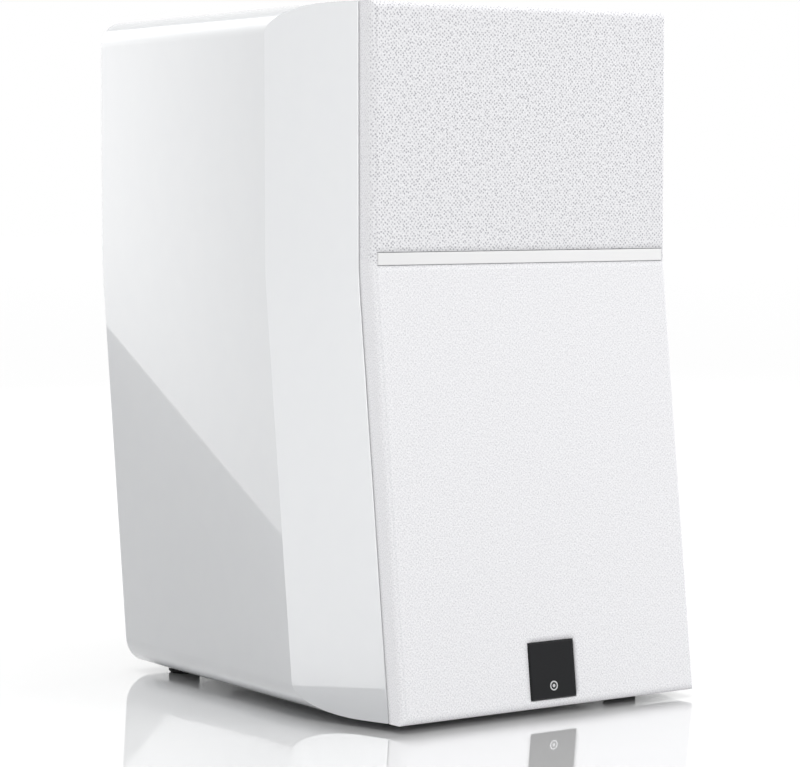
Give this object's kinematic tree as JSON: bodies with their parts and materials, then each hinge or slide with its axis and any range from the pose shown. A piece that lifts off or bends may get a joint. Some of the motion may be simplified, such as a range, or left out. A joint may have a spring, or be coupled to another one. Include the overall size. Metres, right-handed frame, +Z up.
{
  "type": "bookshelf speaker",
  "caption": "Two-way bookshelf loudspeaker with a bent gloss cabinet, angled front facets, a pull-off full-height cloth grille, rear port and screw terminals.",
  "frame": {"origin": "on the floor under the middle of the whole speaker's box, grille on", "axes": "+Z up, the grille faces -Y, +X to the right seen from the front"},
  "size_m": [0.236, 0.2942, 0.38],
  "materials": {
    "bare_copper": "bare copper",
    "bare_fibreboard": "sawn fibreboard",
    "black_anodised_aluminium": "anodised",
    "black_cast_aluminium": "black powder coat on a casting",
    "black_clear_plastic": "tinted",
    "black_foam": "closed-cell foam",
    "black_moulded_plastic": "moulded, fine grain",
    "black_painted_board": "satin black paint on fibreboard",
    "black_rubber": "matte moulded rubber",
    "black_steel": "black oxide",
    "butyl_rubber": "satin moulded rubber",
    "capacitor_film": "wrapped film",
    "cement_resistor": "cement filled",
    "circuit_board": "solder mask",
    "coated_paper_cone": "coated pulp",
    "coated_silk": "coated silk",
    "enamelled_copper": "enamelled wire",
    "ferrite": "ground ferrite",
    "gloss_white_lacquer": "high-gloss white lacquer on fibreboard",
    "gloss_white_trim": "high gloss",
    "gold_brass": "gold flash on brass",
    "green_plastic": "moulded",
    "lead_insulation": "flexible insulation",
    "nickel_plate": "nickel plate",
    "pale_moulded_plastic": "moulded, fine grain",
    "phenolic_board": "laminate",
    "polyester_wadding": "loose polyester fibre",
    "polyimide_former": "film",
    "red_clear_plastic": "tinted",
    "resin_cloth": "resin-treated cloth",
    "slate_badge": "satin",
    "tinned_brass": "tinned",
    "white_grille_cloth": "stretched knitted acoustic cloth",
    "white_inlay": "satin",
    "white_nylon": "moulded",
    "zinc_steel": "zinc plate"
  },
  "bodies": {
    "cabinet": {"cabinet_shell": "gloss_white_lacquer", "rear_panel": "gloss_white_lacquer", "front_baffle": "black_painted_board", "cabinet_brace": "bare_fibreboard", "wadding_pads": "polyester_wadding", "rubber_feet": "black_rubber", "baffle_magnets": "nickel_plate", "driver_screws": "black_steel", "rear_screws": "black_steel", "crossover_board": "circuit_board", "crossover_standoffs": "white_nylon", "crossover_screws": "zinc_steel", "inductor_bobbins": "white_nylon", "inductor_windings": "enamelled_copper", "crossover_capacitors": "capacitor_film", "crossover_resistors": "cement_resistor", "crossover_terminals": "green_plastic", "woofer_leads": "lead_insulation", "tweeter_leads": "lead_insulation", "input_leads": "lead_insulation", "woofer_basket": "black_cast_aluminium", "woofer_gasket": "black_foam", "woofer_surround": "butyl_rubber", "woofer_spider": "resin_cloth", "woofer_top_plate": "zinc_steel", "woofer_magnet": "ferrite", "woofer_pole_plate": "zinc_steel", "woofer_shorting_ring": "bare_copper", "woofer_tag_board": "phenolic_board", "woofer_tags": "tinned_brass", "tweeter_faceplate": "black_anodised_aluminium", "tweeter_surround": "coated_silk", "tweeter_top_plate": "zinc_steel", "tweeter_magnet": "ferrite", "tweeter_pole_plate": "zinc_steel", "tweeter_chamber": "black_moulded_plastic", "tweeter_tags": "tinned_brass", "port_flange": "black_moulded_plastic", "port_tube": "black_moulded_plastic", "terminal_cup": "black_moulded_plastic", "terminal_gasket": "black_foam", "binding_post_stems": "gold_brass", "terminal_nuts": "gold_brass", "terminal_lugs": "tinned_brass"},
    "grille": {"grille_frame": "pale_moulded_plastic", "grille_cloth": "white_grille_cloth", "grille_trim_bar": "gloss_white_trim", "badge_plate": "slate_badge", "badge_emblem": "white_inlay", "grille_magnets": "nickel_plate"},
    "woofer_moving_parts": {"woofer_cone": "coated_paper_cone", "woofer_dust_cap": "coated_paper_cone", "woofer_coil_former": "polyimide_former", "woofer_coil_winding": "enamelled_copper"},
    "tweeter_moving_parts": {"tweeter_dome": "coated_silk", "tweeter_coil": "enamelled_copper"},
    "red_washer": {"post_washer_red": "gold_brass"},
    "red_knob": {"post_knob_red": "red_clear_plastic"},
    "black_washer": {"post_washer_black": "gold_brass"},
    "black_knob": {"post_knob_black": "black_clear_plastic"}
  },
  "joints": [
    {"name": "grille_pull", "type": "slide", "parent": "cabinet", "child": "grille", "axis": [0, -1, 0], "range_m": [0, 0.08]},
    {"name": "woofer_excursion", "type": "slide", "parent": "cabinet", "child": "woofer_moving_parts", "axis": [0, -0.9936, 0.1132], "range_m": [-0.005, 0.005], "stiffness_N_per_m": 1000, "deforming": ["woofer_surround", "woofer_spider"]},
    {"name": "tweeter_excursion", "type": "slide", "parent": "cabinet", "child": "tweeter_moving_parts", "axis": [0, -1, 0], "range_m": [-0.0003, 0.0003], "stiffness_N_per_m": 400, "deforming": ["tweeter_surround"]},
    {"name": "red_post_lift", "type": "slide", "parent": "cabinet", "child": "red_washer", "axis": [0, 0.9936, -0.1132], "range_m": [0, 0.004]},
    {"name": "red_post_turn", "type": "hinge", "parent": "red_washer", "child": "red_knob", "pos_m": [0.00953, 0.11448, 0.0937], "axis": [0, 0.9936, -0.1132], "range_deg": [0, 1444]},
    {"name": "black_post_lift", "type": "slide", "parent": "cabinet", "child": "black_washer", "axis": [0, 0.9936, -0.1132], "range_m": [0, 0.004]},
    {"name": "black_post_turn", "type": "hinge", "parent": "black_washer", "child": "black_knob", "pos_m": [-0.00953, 0.11448, 0.0937], "axis": [0, 0.9936, -0.1132], "range_deg": [0, 1444]}
  ],
  "couplings": [
    {"joint": "red_post_turn", "follows": "red_post_lift", "rad_per_m": 6283.2},
    {"joint": "black_post_turn", "follows": "black_post_lift", "rad_per_m": 6283.2}
  ]
}
